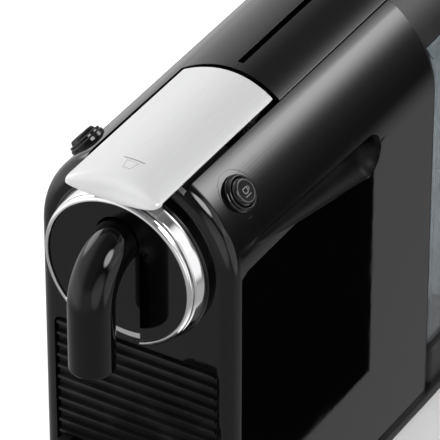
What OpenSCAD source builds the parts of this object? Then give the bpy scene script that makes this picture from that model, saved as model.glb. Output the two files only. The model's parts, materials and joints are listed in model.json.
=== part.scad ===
// Pod coffee machine: a slim black column with a half-round roof, a round chrome-ringed
// face with a curved spout, a bright lever on top, a drip unit in front and a tank behind.
// Frame: +Z up, the front faces -Y, origin on the table under the middle of the machine.

/* [Body] */
// Width across the flat side walls
body_w = 120; // [118:1:122]
// Overall height, table to roof
body_h = 277; // [272:1:284]
// Depth of the column, front face to back panel
body_d = 214; // [212:1:216]
// Wall thickness of the moulded shells
wall = 2.5; // [2:0.1:3]
// Radius of the rounded front edge of the shells
edge_r = 9.5; // [8:0.5:11]
// Gap between parts that are clipped side by side
seam = 0.3; // [0.2:0.05:0.5]

/* [Head] */
// Radius of the round front disc
disc_r = 42.3; // [41:0.1:43]
// Width of the chrome ring around the disc
ring_w = 4.7; // [4:0.1:5]
// How far the disc stands in front of the column
disc_out = 15.4; // [14:0.2:17]
// Half width of the slot that the spout comes out of
slot_half = 13; // [12.8:0.1:14]
// Outer radius of the spout tube
spout_r = 12.6; // [11:0.1:12.6]
// Distance from the disc to the middle of the hanging spout
spout_out = 26; // [24:1:28]
// Height of the spout's root above the disc centre
spout_root = 20; // [18:1:21]
// How far the spout's tip hangs below the disc centre
spout_drop = 44.6; // [40:0.2:48]

/* [Lever] */
// Half width of the lever plate
lever_half = 27.5; // [26:0.1:27.6]
// How far the lever's nose stands in front of the column
lever_nose = 21; // [20:0.5:23]
// Length of the lever behind the column's front face
lever_back = 95; // [94:0.5:96]
// Thickness of the lever plate
lever_t = 2.4; // [2:0.1:2.8]

/* [Buttons] */
// Angle of each button from the top of the roof
button_angle = 50; // [48:0.5:52]
// Distance of the buttons behind the column's front face
button_y = 29.5; // [27:0.5:32]
// Radius of a button's cap
button_r = 8; // [7:0.1:8.2]
// How far a button's cap stands proud of the roof
button_out = 5.8; // [5:0.1:6.5]

/* [Drip unit] */
// How far the drip tray stands in front of the column
tray_l = 100; // [98:1:102]
// Height of the drip tray's rim above the table
tray_top = 46; // [42:1:50]
// Height of the folding cup support's top
support_z = 79; // [74:1:84]
// Distance from one rib of the front grille to the next
rib_pitch = 7.3; // [6.5:0.1:8]

/* [Tank] */
// Depth of the water tank
tank_d = 54; // [52:1:54]
// Height of the rim where the tank's lid starts
tank_rim = 240; // [236:1:244]

/* [Hidden] */
$fn = 72;
R = body_w / 2;
axis_z = body_h - R;
total_l = 372;
yf = tray_l - total_l / 2;
yb = yf + body_d;
y_rear = total_l / 2;
ring_r = disc_r + ring_w;
collar_r = ring_r + 1;
collar_l = 7;
foot_h = 3;
base_t = 7;
base_top = foot_h + base_t;
opening_half = 30.4;
cover_half = 30;
cover_gap = 3.2;
arch_r = 130;
arch_rise = 3.2;
nose_r = 10;
lip_r = 110;
lip_low = 47.9;
grille_half = 50;
grille_top = axis_z - 57;
slot_top = 34;
slot_depth = 7;
pivot_y = yf + 89;
pivot_z = axis_z + 48;
crank = [-14, -4];
brew_z = axis_z + 10;
cage_y = yf + 27.6;
dock_top = 36;
tank_y = yb + 4;
tank_half = 56;
button_hole = 10.6;
support_pin_y = yf - 8;
support_pin_z = support_z - 4;
lid_pin_y = y_rear - 4.2;
lid_pin_z = tank_rim + 4.6;
inlet_x = -34;
inlet_z = 23;
tray_mid = yf - tray_l / 2 + 1;

// ---------- shared shapes ----------

// Round bar or disc along +Y from y0 to y1, centred on x, z
module bar_y(r, y0, y1, x = 0, z = 0) {
    translate([x, y0, z]) rotate([-90, 0, 0]) cylinder(r = r, h = y1 - y0);
}

// Round bar along X from x0 to x1, centred on y, z
module bar_x(r, x0, x1, y, z) {
    translate([x0, y, z]) rotate([0, 90, 0]) cylinder(r = r, h = x1 - x0);
}

// Box between two opposite corners
module box(low, high) {
    translate(low) cube(high - low);
}

// Flat rectangle with rounded corners
module round_rect(w, h, r) {
    translate([-w / 2 + r, -h / 2]) square([w - 2 * r, h]);
    translate([-w / 2, -h / 2 + r]) square([w, h - 2 * r]);
    for (sx = [-1, 1], sy = [-1, 1]) translate([sx * (w / 2 - r), sy * (h / 2 - r)]) circle(r);
}

// Flat slot along Y with round ends
module slot_shape(w, l) {
    translate([-w / 2, -l / 2 + w / 2]) square([w, l - w]);
    for (s = [-1, 1]) translate([0, s * (l - w) / 2]) circle(w / 2);
}

// Outline of the column seen from the front: half-round roof on straight walls
module column_outline(r, z_low) {
    translate([0, axis_z]) circle(r);
    translate([-r, z_low]) square([2 * r, axis_z - z_low]);
}

// Solid column from y0 to y1 with its front edge rounded to radius er
module column_block(r, y0, y1, er, z_low) {
    translate([0, y1, 0]) rotate([90, 0, 0]) linear_extrude(y1 - y0 - er) column_outline(r, z_low);
    translate([0, y0, axis_z]) rotate([-90, 0, 0]) rotate_extrude() intersection() {
        union() {
            square([r - er, er]);
            translate([r - er, er]) circle(er);
        }
        square([r, er]);
    }
    translate([0, y0, z_low]) linear_extrude(axis_z - z_low) intersection() {
        union() {
            translate([-(r - er), 0]) square([2 * (r - er), er]);
            for (s = [-1, 1]) translate([s * (r - er), er]) circle(er);
        }
        translate([-r, 0]) square([2 * r, er]);
    }
}

// Hollow of the column, open below
module column_room() {
    column_block(R - wall, yf + wall, yb + 1, edge_r - wall, base_top - 1);
}

// Tapered groove along a side wall, pointed in front and round behind
module side_scoop(grow) {
    front = [R + 0.5, yf + 14, axis_z + 17];
    rear = [R + 4.5, yf + 143, axis_z - 0.5];
    run = rear - front;
    len = norm(run);
    translate(front) rotate([0, acos(run[2] / len), atan2(run[1], run[0])])
        cylinder(r1 = 2 + grow, r2 = 13.5 + grow, h = len);
    translate(front) sphere(r = 2 + grow);
    translate(rear) sphere(r = 13.7 + grow);
}

// Places children at a button: their +Z points out of the roof on side s
module at_button(s) {
    translate([0, yf + button_y, axis_z]) rotate([0, s * button_angle, 0]) translate([0, 0, R]) children();
}

// Straight-sided opening under the lever and the top cover
module roof_opening() {
    difference() {
        box([-opening_half, yf - 1, axis_z + 20], [opening_half, yb + 1, body_h + 1]);
        bar_y(R - 3.5, yf - 2, yb + 2, 0, axis_z);
    }
}

// Everything behind the arched line that ends the lever, shifted back by gap
module behind_arch(gap, far) {
    difference() {
        box([-R, yf + lever_back - 5, axis_z], [R, far, body_h + 2]);
        translate([0, yf + lever_back + arch_rise + gap - arch_r, axis_z - 1])
            cylinder(r = arch_r, h = R + 5, $fn = 200);
    }
}

// ---------- shells ----------

// The right half of the outer shell with its scoop, openings and seam
module side_shell() {
    difference() {
        union() {
            difference() {
                column_block(R, yf, yb, edge_r, base_top);
                column_room();
            }
            intersection() {
                column_block(R, yf, yb, edge_r, base_top);
                side_scoop(wall);
            }
        }
        side_scoop(0);
        roof_opening();
        box([-R - 1, yf - 1, 0], [seam / 2, yb + 1, body_h + 1]);
        bar_y(disc_r - 1, yf - 1, yf + wall + 1, 0, axis_z);
        box([-1, yf - 1, base_top - 1], [grille_half + 0.5, yf + wall + 1, grille_top - 5]);
        box([-1, yf - 1, grille_top - 6], [grille_half - 4.5, yf + wall + 1, grille_top + 0.5]);
        bar_y(5, yf - 1, yf + wall + 1, grille_half - 4.5, grille_top - 4.5);
        at_button(1) translate([0, 0, -8]) cylinder(r = button_hole, h = 12);
    }
}

module side_shell_right() color([0.03, 0.03, 0.035]) side_shell();

module side_shell_left() color([0.03, 0.03, 0.035]) mirror([1, 0, 0]) side_shell();

// Roof panel behind the lever, with a long slit over a shallow channel
module top_cover() color([0.05, 0.05, 0.05]) {
    slit = 3.8;
    channel = slit / 2 + 2;
    slit_y0 = yf + 108;
    slit_y1 = yb - 16;
    difference() {
        union() {
            intersection() {
                difference() {
                    bar_y(R, yf + lever_back - 8, yb, 0, axis_z);
                    bar_y(R - wall, yf + lever_back - 9, yb + 1, 0, axis_z);
                }
                box([-cover_half, yf + lever_back - 8, axis_z], [cover_half, yb, body_h + 1]);
                behind_arch(cover_gap, yb);
            }
            box([-channel, slit_y0 - 2, body_h - 11], [channel, slit_y1 + 2, body_h - wall + 0.1]);
        }
        box([-slit / 2, slit_y0, body_h - 9], [slit / 2, slit_y1, body_h + 1]);
        box([-0.3, yf + lever_back - 8, body_h - 0.8], [0.3, slit_y0 + 1, body_h + 1]);
    }
}

// Flat rear wall with a lattice of cooling slots
module back_panel() color([0.06, 0.06, 0.06]) difference() {
    translate([0, yb + 2.5, 0]) rotate([90, 0, 0]) linear_extrude(2.2) column_outline(R - 0.5, base_top);
    for (z = [60 : 9 : 132]) box([-30, yb - 1, z], [30, yb + 3, z + 3]);
    bar_y(4, yb - 1, yb + 3, -30, 24);
}

// ---------- inner frame ----------

// Two side plates, a cross wall and a shelf that the brewing unit stands on
module chassis() color([0.2, 0.2, 0.22]) difference() {
    side_x = 44.7;
    union() {
        for (s = [-1, 1]) translate([s * side_x - 1.2, yf + 14, base_top])
            cube([2.4, body_d - 24, 190 - base_top]);
        box([-43.5, yf + 118, base_top], [43.5, yf + 120.4, 190]);
        box([-43.5, yf + 14, 167], [43.5, yf + 118, 169.4]);
    }
    box([-20, yf + 117, 100], [20, yf + 121, 150]);
    box([-17, yf + 20, 166], [17, yf + 74, 170]);
    for (s = [-1, 1], y = [yf + 150, yf + 180]) bar_x(6, s * side_x - 3, s * side_x + 3, y, 60);
}

module base_plate() color([0.04, 0.04, 0.04])
    translate([0, (y_rear + yf - 92) / 2, foot_h]) linear_extrude(base_t)
        round_rect(body_w + 4, y_rear - yf + 92, 14);

module rubber_feet() color([0.1, 0.1, 0.1])
    for (x = [-46, 46], y = [yf - 74, y_rear - 22]) translate([x, y, 0]) cylinder(r = 8, h = foot_h);

// ---------- face ----------

// Wedge-sided slot that runs from the spout's root down and out at the bottom
module spout_slot(depth) {
    back = slot_half - depth * 0.35;
    translate([0, yf - disc_out, axis_z + slot_top - slot_half]) rotate([-90, 0, 0])
        cylinder(r1 = slot_half, r2 = back, h = depth);
    translate([0, 0, axis_z - ring_r - 3]) linear_extrude(ring_r + 3 + slot_top - slot_half) polygon([
        [-slot_half, yf - disc_out - 3], [slot_half, yf - disc_out - 3], [slot_half, yf - disc_out],
        [back, yf - disc_out + depth], [-back, yf - disc_out + depth], [-slot_half, yf - disc_out]]);
}

module head_collar() color([0.02, 0.02, 0.02]) difference() {
    bar_y(collar_r, yf - collar_l, yf, 0, axis_z);
    bar_y(disc_r - 3, yf - collar_l - 1, yf + 1, 0, axis_z);
}

module face_ring() color([0.85, 0.85, 0.86]) difference() {
    bead = ring_w / 2;
    translate([0, yf - collar_l, axis_z]) rotate([90, 0, 0]) rotate_extrude($fn = 144) {
        translate([disc_r, 0]) square([ring_w, disc_out - collar_l - 1.1]);
        translate([disc_r + bead, disc_out - collar_l - 1.1]) circle(bead);
    }
    spout_slot(disc_out - collar_l + 0.2);
}

module face_disc() color([0.03, 0.03, 0.03]) difference() {
    bar_y(disc_r - 0.1, yf - disc_out, yf - collar_l - 0.3, 0, axis_z);
    spout_slot(slot_depth);
    bar_y(spout_r + 0.05, yf - disc_out - 1, yf - disc_out + slot_depth, 0, axis_z + spout_root);
}

// Elbow and hanging tube
module spout() color([0.02, 0.02, 0.02]) difference() {
    elbow_z = axis_z + spout_root - spout_out;
    tip_z = axis_z - spout_drop;
    hang_y = yf - disc_out - spout_out;
    union() {
        bar_y(spout_r, yf - disc_out, yf - disc_out + slot_depth, 0, axis_z + spout_root);
        translate([0, yf - disc_out, elbow_z]) rotate([90, 0, -90])
            rotate_extrude(angle = 90) translate([spout_out, 0]) circle(spout_r);
        translate([0, hang_y, tip_z]) cylinder(r = spout_r, h = elbow_z - tip_z);
    }
    translate([0, hang_y, tip_z - 1]) cylinder(r = spout_r - 3, h = 17);
}

module spout_nozzle() color([0.08, 0.08, 0.08])
    translate([0, yf - disc_out - spout_out, axis_z - spout_drop + 2]) difference() {
        cylinder(r = spout_r - 3, h = 14);
        translate([0, 0, -1]) cylinder(r = 2.1, h = 10);
        translate([0, 0, -1]) cylinder(r = spout_r - 5, h = 2.5);
    }

// ---------- brewing unit ----------

// Black saddle under the lever with the slot that the pod drops into
module capsule_chute() color([0.05, 0.05, 0.05]) difference() {
    front = yf + 7.3;
    union() {
        difference() {
            intersection() {
                bar_y(R - 4.2, front, front + 77, 0, axis_z);
                box([-31, front, axis_z + 30], [31, front + 77, body_h]);
            }
            bar_y(R - 6.2, front - 1, front + 78, 0, axis_z);
        }
        box([-20, front, axis_z + 36], [20, front + 43, axis_z + 52]);
    }
    box([-17, front + 1.6, axis_z + 30], [17, front + 39, body_h]);
    box([-29.4, front + 43, axis_z + 26], [29.4, front + 79, body_h]);
}

module lever_bracket() color([0.3, 0.3, 0.32]) difference() {
    union() {
        for (s = [-1, 1]) translate([s * 14.5 - 2.5, 0, 0]) {
            bar_x(5, 0, 5, pivot_y, pivot_z);
            box([0, pivot_y - 5, axis_z + 34], [5, pivot_y + 5, pivot_z]);
        }
        box([-17, pivot_y - 5, axis_z + 31], [17, pivot_y + 7, axis_z + 34]);
        box([-17, pivot_y + 3, axis_z - 30], [17, pivot_y + 7, axis_z + 31]);
        box([-43.4, pivot_y + 3, axis_z - 30], [43.4, pivot_y + 7, axis_z - 27.2]);
    }
    bar_x(2.55, -20, 20, pivot_y, pivot_z);
    box([-15, pivot_y + 2, axis_z - 18], [15, pivot_y + 8, axis_z + 24]);
}

module brew_head() color([0.25, 0.25, 0.25]) difference() {
    union() {
        bar_y(27, yf - 1.8, yf + 7, 0, brew_z);
        bar_y(9, yf - 6, yf - 1.8, 0, axis_z + 14);
    }
    bar_y(17, yf + 4, yf + 8, 0, brew_z);
    bar_y(3, yf - 5, yf + 8, 0, axis_z + 14);
}

module brew_rails() color([0.6, 0.6, 0.62]) for (s = [-1, 1]) {
    box([s * 34.5 - 1.5, yf + 8, brew_z - 4], [s * 34.5 + 1.5, yf + 100, brew_z + 4]);
    box([s * 34.5 - 1.5, yf + 92, axis_z - 27.2], [s * 34.5 + 1.5, yf + 96.8, brew_z - 4]);
    box([s * 34.5 - 1.5, yf + 15, 169.4], [s * 34.5 + 1.5, yf + 20, brew_z - 4]);
}

module capsule_cage() color([0.35, 0.35, 0.36]) difference() {
    union() {
        bar_y(22, yf + 10, yf + 40, 0, brew_z);
        bar_x(3, -28.2, 28.2, cage_y, brew_z);
        for (s = [-1, 1]) box([s * 30.4 - 2.2, yf + 20, brew_z - 6], [s * 30.4 + 2.2, yf + 38, brew_z + 6]);
    }
    bar_y(17.5, yf + 9, yf + 36, 0, brew_z);
    box([-20, yf + 9, brew_z + 4], [20, yf + 36.5, brew_z + 30]);
}

module piercing_plate() color([0.8, 0.8, 0.82]) {
    bar_y(17.4, yf + 34.5, yf + 36, 0, brew_z);
    for (a = [90, 210, 330]) translate([9 * cos(a), yf + 34.5, brew_z + 9 * sin(a)]) rotate([90, 0, 0])
        cylinder(r1 = 1.8, r2 = 0.4, h = 7);
}

// Pair of links between the cage's trunnions and the lever's crank
module toggle_links() color([0.7, 0.7, 0.72]) {
    dz = pivot_z + crank[1] - brew_z;
    dy = pivot_y + crank[0] - cage_y;
    tilt = atan2(dz, dy);
    for (s = [-1, 1]) translate([s * 25.4 - 1.4, cage_y, brew_z]) rotate([tilt, 0, 0]) difference() {
        union() {
            bar_x(5.5, 0, 2.8, 0, 0);
            bar_x(5, 0, 2.8, norm([dy, dz]), 0);
            box([0, 0, -3.5], [2.8, norm([dy, dz]), 3.5]);
        }
        bar_x(3.05, -1, 4, 0, 0);
        bar_x(2.6, -1, 4, norm([dy, dz]), 0);
    }
}

// ---------- lever ----------

// Side view of the lever's block, inset by t: straight on top with a round nose in front
module lever_profile(t) {
    y_nose = yf - lever_nose;
    low = axis_z + 40;
    translate([y_nose + t, low]) square([nose_r - t, R - nose_r - 40]);
    translate([y_nose + nose_r, low]) square([lever_back + lever_nose + 5 - nose_r, R - t - 40]);
    translate([y_nose + nose_r, axis_z + R - nose_r]) circle(nose_r - t);
}

// Bright plate bent to the roof's radius, with a nose that rolls down in front
module lever() color([0.75, 0.75, 0.77]) difference() {
    y_nose = yf - lever_nose;
    intersection() {
        bar_y(R, y_nose, yf + lever_back + 5, 0, axis_z);
        translate([-lever_half, 0, 0]) rotate([90, 0, 90]) linear_extrude(2 * lever_half) lever_profile(0);
    }
    intersection() {
        bar_y(R - lever_t, y_nose - 1, yf + lever_back + 6, 0, axis_z);
        translate([-R, 0, -1]) rotate([90, 0, 90]) linear_extrude(2 * R) lever_profile(lever_t);
    }
    translate([-R, y_nose - 1, 0]) cube([2 * R, lever_back + lever_nose + 20, axis_z + 40.5]);
    behind_arch(0, yf + 130);
    difference() {
        box([-R, y_nose - 1, axis_z], [R, y_nose + 4, axis_z + 56]);
        bar_y(lip_r, y_nose - 2, y_nose + 5, 0, axis_z + lip_low + lip_r);
    }
}

// Pair of arms under the lever: each has an eye on the pin and a crank that drives the links
module lever_arms() color([0.35, 0.35, 0.36]) {
    inner_r = R - lever_t - 0.05;
    arm_x = 20.2;
    arm_t = 3.2;
    eye_r = 4.6;
    for (s = [-1, 1]) translate([s * arm_x - arm_t / 2, 0, 0]) difference() {
        union() {
            bar_x(eye_r, 0, arm_t, pivot_y, pivot_z);
            bar_x(eye_r, 0, arm_t, pivot_y + crank[0], pivot_z + crank[1]);
            translate([0, pivot_y, pivot_z]) rotate([atan2(crank[1], crank[0]) + 180, 0, 0])
                box([0, -norm(crank), -eye_r], [arm_t, 0, eye_r]);
            box([0, pivot_y - 38, pivot_z - 1.5], [arm_t, pivot_y, pivot_z + 8]);
        }
        difference() {
            translate([-s * arm_x - 40, pivot_y - 70, axis_z + 30]) cube([80, 90, 60]);
            bar_y(inner_r, pivot_y - 71, pivot_y + 21, arm_t / 2 - s * arm_x, axis_z);
        }
        bar_x(2.5, -1, 5, pivot_y, pivot_z);
    }
}

module lever_pin() color([0.7, 0.7, 0.7]) bar_x(2.5, -21.8, 21.8, pivot_y, pivot_z);

// ---------- buttons ----------

module button_bezel(s) at_button(s) rotate_extrude() difference() {
    union() {
        translate([button_r + 0.3, -6]) square([2.2, 8.6]);
        translate([button_r + 1.4, 2.6]) circle(1.1);
    }
    translate([0, -7]) square([button_r + 0.3, 12]);
}

module button_bezel_left() color([0.1, 0.1, 0.1]) button_bezel(-1);

module button_bezel_right() color([0.1, 0.1, 0.1]) button_bezel(1);

// Cap with a rounded rim, a shallow seat for its inlay and a guide stem
module button_cap(s) at_button(s) difference() {
    rim = 1.2;
    union() {
        translate([0, 0, -3]) cylinder(r = button_r, h = 3 + button_out - rim);
        rotate_extrude() {
            translate([0, button_out - rim]) square([button_r - rim, rim]);
            translate([button_r - rim, button_out - rim]) circle(rim);
        }
        translate([0, 0, -9]) cylinder(r = 2.2, h = 6.1);
    }
    translate([0, 0, button_out - 0.8]) cylinder(r = 5.8, h = 1);
}

module button_left() color([0.15, 0.15, 0.15]) button_cap(-1);

module button_right() color([0.15, 0.15, 0.15]) button_cap(1);

module button_inlay(s) at_button(s) translate([0, 0, button_out - 0.8]) cylinder(r = 5.7, h = 0.5);

module button_inlay_left() color([0.3, 0.3, 0.3]) button_inlay(-1);

module button_inlay_right() color([0.3, 0.3, 0.3]) button_inlay(1);

module button_switches() color([0.1, 0.3, 0.15]) for (s = [-1, 1]) at_button(s) {
    translate([-7, -7, -14.2]) cube([14, 14, 1.6]);
    translate([0, 0, -12.6]) cylinder(r = 3, h = 1.9);
}

// ---------- water and power ----------

module pump() color([0.7, 0.7, 0.68]) {
    bar_y(17, yf + 138, yf + 178, 0, 62);
    bar_y(9, yf + 124, yf + 138, 0, 62);
    bar_y(6, yf + 178, yf + 200, 0, 62);
    box([-20, yf + 144, 42], [20, yf + 172, 48]);
}

module pump_mounts() color([0.12, 0.12, 0.12])
    for (x = [-15, 15], y = [yf + 149, yf + 167]) translate([x, y, base_top])
        cylinder(r = 5, h = 42 - base_top);

module thermoblock() color([0.75, 0.75, 0.77]) difference() {
    union() {
        box([-30, yf + 126, 118], [30, yf + 196, 150]);
        for (x = [-24 : 8 : 24]) box([x - 1.2, yf + 128, 150], [x + 1.2, yf + 194, 156]);
    }
    for (y = [yf + 132, yf + 190]) translate([0, y, 112]) cylinder(r = 2.2, h = 20);
}

module flow_meter() color([0.85, 0.85, 0.8]) {
    translate([-30, yf + 196, 72]) cylinder(r = 10, h = 14);
    translate([-30, yf + 196, 66]) cylinder(r = 3, h = 6);
    translate([-30, yf + 196, 86]) cylinder(r = 3, h = 6);
}

// Pipe in straight runs between corner points, with a ball at each corner
module pipe(points, r) {
    for (i = [0 : len(points) - 2]) {
        run = points[i + 1] - points[i];
        translate(points[i]) rotate([0, acos(run[2] / norm(run)), atan2(run[1], run[0])])
            cylinder(r = r, h = norm(run));
    }
    if (len(points) > 2) for (i = [1 : len(points) - 2]) translate(points[i]) sphere(r = r);
}

module suction_tube() color([0.9, 0.9, 0.9])
    pipe([[-30, yf + 196, 66], [-30, yf + 196, 24], [-30, tank_y + 7, 24]], 3);

module pump_tube() color([0.85, 0.85, 0.85])
    pipe([[-30, yf + 196, 92], [-30, yf + 196, 100], [-30, yf + 207, 100], [0, yf + 207, 100],
        [0, yf + 207, 62], [0, yf + 200, 62]], 2);

module pressure_tube() color([0.85, 0.85, 0.85]) pipe([[0, yf + 132, 71], [0, yf + 132, 128]], 2);

module brew_tube() color([0.9, 0.9, 0.9])
    pipe([[30, yf + 134, 134], [36, yf + 134, 134], [36, yf + 134, 196],
        [8, yf + 134, 196], [8, yf + 98, 196]], 2);

module circuit_board() color([0.1, 0.35, 0.15]) {
    box([38.4, yf + 130, 70], [40, yf + 196, 112]);
    box([30, yf + 136, 76], [38.4, yf + 150, 92]);
    box([33, yf + 160, 80], [38.4, yf + 184, 104]);
}

// Block of a rounded outline that runs forward from the rear face at the mains inlet
module inlet_block(w, h, r, depth) {
    translate([inlet_x, y_rear + 1, inlet_z]) rotate([90, 0, 0]) linear_extrude(depth + 1) round_rect(w, h, r);
}

// Three-pin mains inlet at the back of the dock
module inlet_socket() color([0.08, 0.08, 0.08]) difference() {
    intersection() {
        inlet_block(29, 21, 2, 20);
        translate([-R, 0, 0]) cube([2 * R, y_rear, body_h]);
    }
    inlet_block(24.5, 16.5, 3, 16);
}

module inlet_pins() color([0.8, 0.7, 0.3])
    for (p = [[-7, -2], [0, 2], [7, -2]]) translate([inlet_x + p[0], y_rear - 16, inlet_z + p[1]])
        translate([-1, 0, -2]) cube([2, 9, 4]);

module tank_dock() color([0.05, 0.05, 0.05]) difference() {
    translate([0, (tank_y + y_rear) / 2, base_top]) linear_extrude(dock_top - base_top)
        round_rect(2 * tank_half + 6, y_rear - tank_y, 8);
    inlet_block(29.2, 21.2, 2, 20.2);
    translate([20, tank_y + 26, dock_top - 6]) cylinder(r = 13, h = 7);
    bar_y(3.2, tank_y - 1, tank_y + 8, -30, 24);
}

module dock_seal() color([0.6, 0.2, 0.1]) translate([20, tank_y + 26, dock_top - 6]) difference() {
    cylinder(r = 12.8, h = 3);
    translate([0, 0, -1]) cylinder(r = 8.5, h = 5);
}

module shell_screws() color([0.6, 0.6, 0.62])
    for (x = [-50, 50], z = [30, 150, 214]) bar_y(3.4, yb + 2.5, yb + 3.6, x, z);

// ---------- drip unit ----------

// Deep tray with a ledge for its grid, and a tongue behind that carries the pod container
module drip_tray() color([0.03, 0.03, 0.03]) difference() {
    floor_z = base_top + 0.3;
    union() {
        translate([0, tray_mid + 1, floor_z]) linear_extrude(tray_top - floor_z) round_rect(108, tray_l + 4, 16);
        box([-43, yf + 3, floor_z], [43, yf + 112, base_top + 3]);
    }
    translate([0, tray_mid, base_top + 3]) linear_extrude(tray_top) round_rect(97, tray_l - 13, 10.5);
    translate([0, tray_mid, tray_top - 3.8]) linear_extrude(9) round_rect(102, tray_l - 8, 13);
}

module drip_grid() color([0.7, 0.7, 0.72]) difference() {
    translate([0, tray_mid, tray_top - 3.6]) linear_extrude(2.6) round_rect(101.2, tray_l - 8.8, 12.6);
    for (i = [-6 : 6]) translate([i * 7, tray_mid, tray_top - 5])
        linear_extrude(8) slot_shape(3.4, tray_l - 34);
}

// Open bin for used pods, behind the front grille
module capsule_container() color([0.04, 0.04, 0.04]) difference() {
    box([-42, yf + 8, base_top + 3.2], [42, yf + 112, 148]);
    box([-39.5, yf + 10.5, base_top + 6], [39.5, yf + 109.5, 149]);
}

// Ribbed front of the drip unit, with lugs that carry the cup support
module front_grille() color([0.02, 0.02, 0.02]) {
    depth = 3;
    rib_t = 1.7;
    low = tray_top + 0.4;
    ribs = floor((grille_top - low - 5) / rib_pitch);
    box([-grille_half, yf + depth, low], [grille_half, yf + 7.8, grille_top - 4.5]);
    box([-grille_half + 4.5, yf + depth, low], [grille_half - 4.5, yf + 7.8, grille_top]);
    for (s = [-1, 1]) bar_y(4.5, yf + depth, yf + 7.8, s * (grille_half - 4.5), grille_top - 4.5);
    for (i = [0 : ribs]) {
        z = grille_top - 3.8 - i * rib_pitch;
        box([-grille_half + 1, yf, z - rib_t / 2], [grille_half - 1, yf + depth, z + rib_t / 2]);
    }
    for (s = [-1, 1]) difference() {
        union() {
            translate([s * 44 - 3, support_pin_y, support_pin_z - 6]) cube([6, yf + depth - support_pin_y, 12]);
            bar_x(6, s * 44 - 3, s * 44 + 3, support_pin_y, support_pin_z);
        }
        bar_x(2.5, s * 44 - 4, s * 44 + 4, support_pin_y, support_pin_z);
    }
}

// Fold-up shelf for small cups
module cup_support() color([0.04, 0.04, 0.04]) difference() {
    union() {
        bar_x(5, -40.6, 40.6, support_pin_y, support_pin_z);
        box([-34, support_pin_y - 64, support_z - 5], [34, support_pin_y, support_z]);
        translate([0, support_pin_y - 64, support_z - 5]) cylinder(r = 34, h = 5);
    }
    bar_x(2.56, -42, 42, support_pin_y, support_pin_z);
    for (i = [-3 : 3]) translate([i * 8, support_pin_y - 50, support_z - 6])
        linear_extrude(8) slot_shape(3.4, 56);
    box([-50, support_pin_y - 110, support_z - 6], [50, support_pin_y - 88, support_z + 1]);
}

module cup_support_pin() color([0.7, 0.7, 0.7]) bar_x(2.5, -46.8, 46.8, support_pin_y, support_pin_z);

// ---------- tank ----------

// Plan-rounded block under the roof's curve, used for the tank and its lid
module tank_block(inset, z0, z1) intersection() {
    half = tank_half - inset;
    translate([0, tank_y + tank_d / 2 - 2, z0]) linear_extrude(z1 - z0)
        round_rect(2 * half, tank_d - 5 - 2 * inset, 10 - inset);
    translate([0, y_rear + 1, 0]) rotate([90, 0, 0]) linear_extrude(tank_d + 10)
        union() {
            translate([0, axis_z - 1]) circle(R - 3 - inset);
            translate([-R, 0]) square([2 * R, axis_z]);
        }
}

// Open tank with two lugs for the lid's pin and a hole for its valve
module water_tank() color([0.3, 0.32, 0.34, 0.5]) difference() {
    lug_x = 38.5;
    union() {
        difference() {
            tank_block(0, dock_top + 0.3, tank_rim);
            tank_block(2.2, dock_top + 3.3, tank_rim + 1);
        }
        for (s = [-1, 1]) {
            translate([s * lug_x - 2.5, lid_pin_y - 2.2, tank_rim - 10]) cube([5, 6.2, lid_pin_z - tank_rim + 10]);
            bar_x(4, s * lug_x - 2.5, s * lug_x + 2.5, lid_pin_y, lid_pin_z);
        }
    }
    translate([20, tank_y + 26, dock_top - 1]) cylinder(r = 6, h = 6);
    bar_x(1.5, -50, 50, lid_pin_y, lid_pin_z);
}

module tank_valve() color([0.1, 0.1, 0.1]) translate([20, tank_y + 26, 0]) {
    translate([0, 0, dock_top - 4]) cylinder(r = 5.8, h = 10);
    translate([0, 0, dock_top + 3.4]) cylinder(r = 9, h = 3);
}

module tank_lid() color([0.04, 0.04, 0.04]) difference() {
    union() {
        difference() {
            tank_block(0, tank_rim + 0.4, body_h);
            tank_block(2.2, tank_rim - 1, body_h - 5);
            box([-42, lid_pin_y - 5, tank_rim], [42, y_rear, lid_pin_z + 4.6]);
        }
        for (s = [-1, 1]) {
            bar_x(4, s * 30 - 5, s * 30 + 5, lid_pin_y, lid_pin_z);
            box([s * 30 - 5, lid_pin_y - 2.2, lid_pin_z], [s * 30 + 5, lid_pin_y, lid_pin_z + 6]);
        }
    }
    bar_x(1.55, -50, 50, lid_pin_y, lid_pin_z);
}

module tank_lid_pin() color([0.6, 0.6, 0.6]) bar_x(1.5, -40, 40, lid_pin_y, lid_pin_z);

// ---------- assembly ----------

side_shell_left();
side_shell_right();
top_cover();
back_panel();
chassis();
base_plate();
rubber_feet();
head_collar();
face_ring();
face_disc();
spout();
spout_nozzle();
capsule_chute();
lever_bracket();
brew_head();
brew_rails();
pump();
pump_mounts();
thermoblock();
flow_meter();
suction_tube();
pump_tube();
pressure_tube();
brew_tube();
circuit_board();
inlet_socket();
inlet_pins();
tank_dock();
dock_seal();
button_bezel_left();
button_bezel_right();
button_switches();
shell_screws();
lever();
lever_arms();
lever_pin();
capsule_cage();
piercing_plate();
toggle_links();
button_left();
button_right();
button_inlay_left();
button_inlay_right();
drip_tray();
capsule_container();
front_grille();
drip_grid();
cup_support();
cup_support_pin();
water_tank();
tank_valve();
tank_lid();
tank_lid_pin();
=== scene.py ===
"""Pod coffee machine: the looks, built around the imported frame.

Lengths in the modelling functions are in millimetres and are turned to metres in one place.
"""

import json
import math

import bmesh
import bpy
from mathutils import Matrix, Vector


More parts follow.
